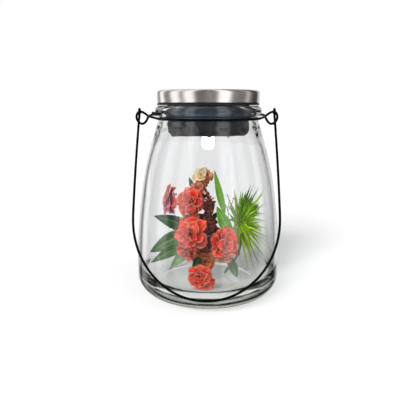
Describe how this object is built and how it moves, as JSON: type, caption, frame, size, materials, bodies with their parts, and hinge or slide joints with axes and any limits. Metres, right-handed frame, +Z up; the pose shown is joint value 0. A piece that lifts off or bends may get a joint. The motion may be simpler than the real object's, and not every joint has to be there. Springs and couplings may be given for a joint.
{
  "type": "jar lantern",
  "caption": "Glass jar lantern with a lift-out solar light lid, a wire neck collar with side eyes, a swinging wire bail and artificial flowers inside.",
  "frame": {"origin": "centre of the glass base, on the table", "axes": "+Z up along the jar's axis, -Y the side where the bail hangs at rest, +X the right side seen from -Y"},
  "size_m": [0.117, 0.1194, 0.1622],
  "materials": {
    "jar_glass": "clear smooth pressed glass, faintly green in its thick base",
    "black_wire": "black lacquered steel wire, satin",
    "brushed_lid": "stainless steel brushed around the lid",
    "clear_window": "clear moulded acrylic",
    "solar_cell": "dark blue photovoltaic wafer under resin",
    "black_plastic": "moulded black plastic",
    "grey_plastic": "moulded dark grey plastic, fine texture",
    "seal_rubber": "soft dark grey seal",
    "led_lens": "clear epoxy lens, lit white",
    "plated_metal": "nickel plated",
    "red_lead": "insulated wire",
    "board": "green circuit board",
    "cell_wrap": "shrink-wrapped cell",
    "flower_stem": "moulded plastic over wire",
    "coral_petal": "coral dyed cloth petals",
    "peach_petal": "peach and cream dyed cloth petals",
    "dark_petal": "dark maroon cloth bracts",
    "leaf": "green printed cloth leaves",
    "grass": "bright green moulded plastic"
  },
  "bodies": {
    "jar": {"glass_jar": "jar_glass", "neck_wire": "black_wire", "flower_stem": "flower_stem", "grass_stem": "grass", "grass_tuft": "grass", "flower_bud": "peach_petal", "dark_bract": "dark_petal", "flower_stalk_1": "flower_stem", "flower_stalk_2": "flower_stem", "flower_stalk_3": "flower_stem", "flower_stalk_5": "flower_stem", "flower_stalk_6": "flower_stem", "flower_stalk_7": "flower_stem", "flower_stalk_8": "flower_stem", "blossom_1": "coral_petal", "leaf_1": "leaf", "blossom_2": "coral_petal", "leaf_2": "leaf", "blossom_3": "coral_petal", "leaf_3": "leaf", "blossom_4": "peach_petal", "leaf_4": "leaf", "blossom_5": "coral_petal", "leaf_5": "leaf", "blossom_6": "coral_petal", "leaf_6": "leaf", "blossom_7": "coral_petal", "leaf_7": "leaf", "blossom_8": "coral_petal", "leaf_8": "leaf"},
    "bail": {"bail_handle": "black_wire"},
    "lid": {"lid_shell": "brushed_lid", "panel_window": "clear_window", "solar_panel": "solar_cell", "lid_housing": "black_plastic", "plug_housing": "grey_plastic", "seal_ring": "seal_rubber", "led_bulb": "led_lens", "led_lead_1": "plated_metal", "led_lead_2": "plated_metal", "circuit_board": "board", "battery": "cell_wrap", "battery_spring": "plated_metal", "battery_contact": "plated_metal", "battery_cover": "grey_plastic", "cover_screw": "plated_metal", "switch_body": "plated_metal", "board_screw_1": "plated_metal", "board_screw_2": "plated_metal", "plug_screw_1": "plated_metal", "plug_screw_2": "plated_metal", "plug_screw_3": "plated_metal", "panel_lead_red": "red_lead", "panel_lead_black": "black_plastic"},
    "switch": {"switch_knob": "black_plastic"}
  },
  "joints": [
    {"name": "bail_swing", "type": "hinge", "parent": "jar", "child": "bail", "pos_m": [0, 0, 0.1457], "axis": [-1, 0, 0], "range_deg": [0, 311.4]},
    {"name": "lid_lift", "type": "slide", "parent": "jar", "child": "lid", "axis": [0, 0, 1], "range_m": [0, 0.055]},
    {"name": "switch_slide", "type": "slide", "parent": "lid", "child": "switch", "axis": [1, 0, 0], "range_m": [-0.0025, 0]}
  ]
}
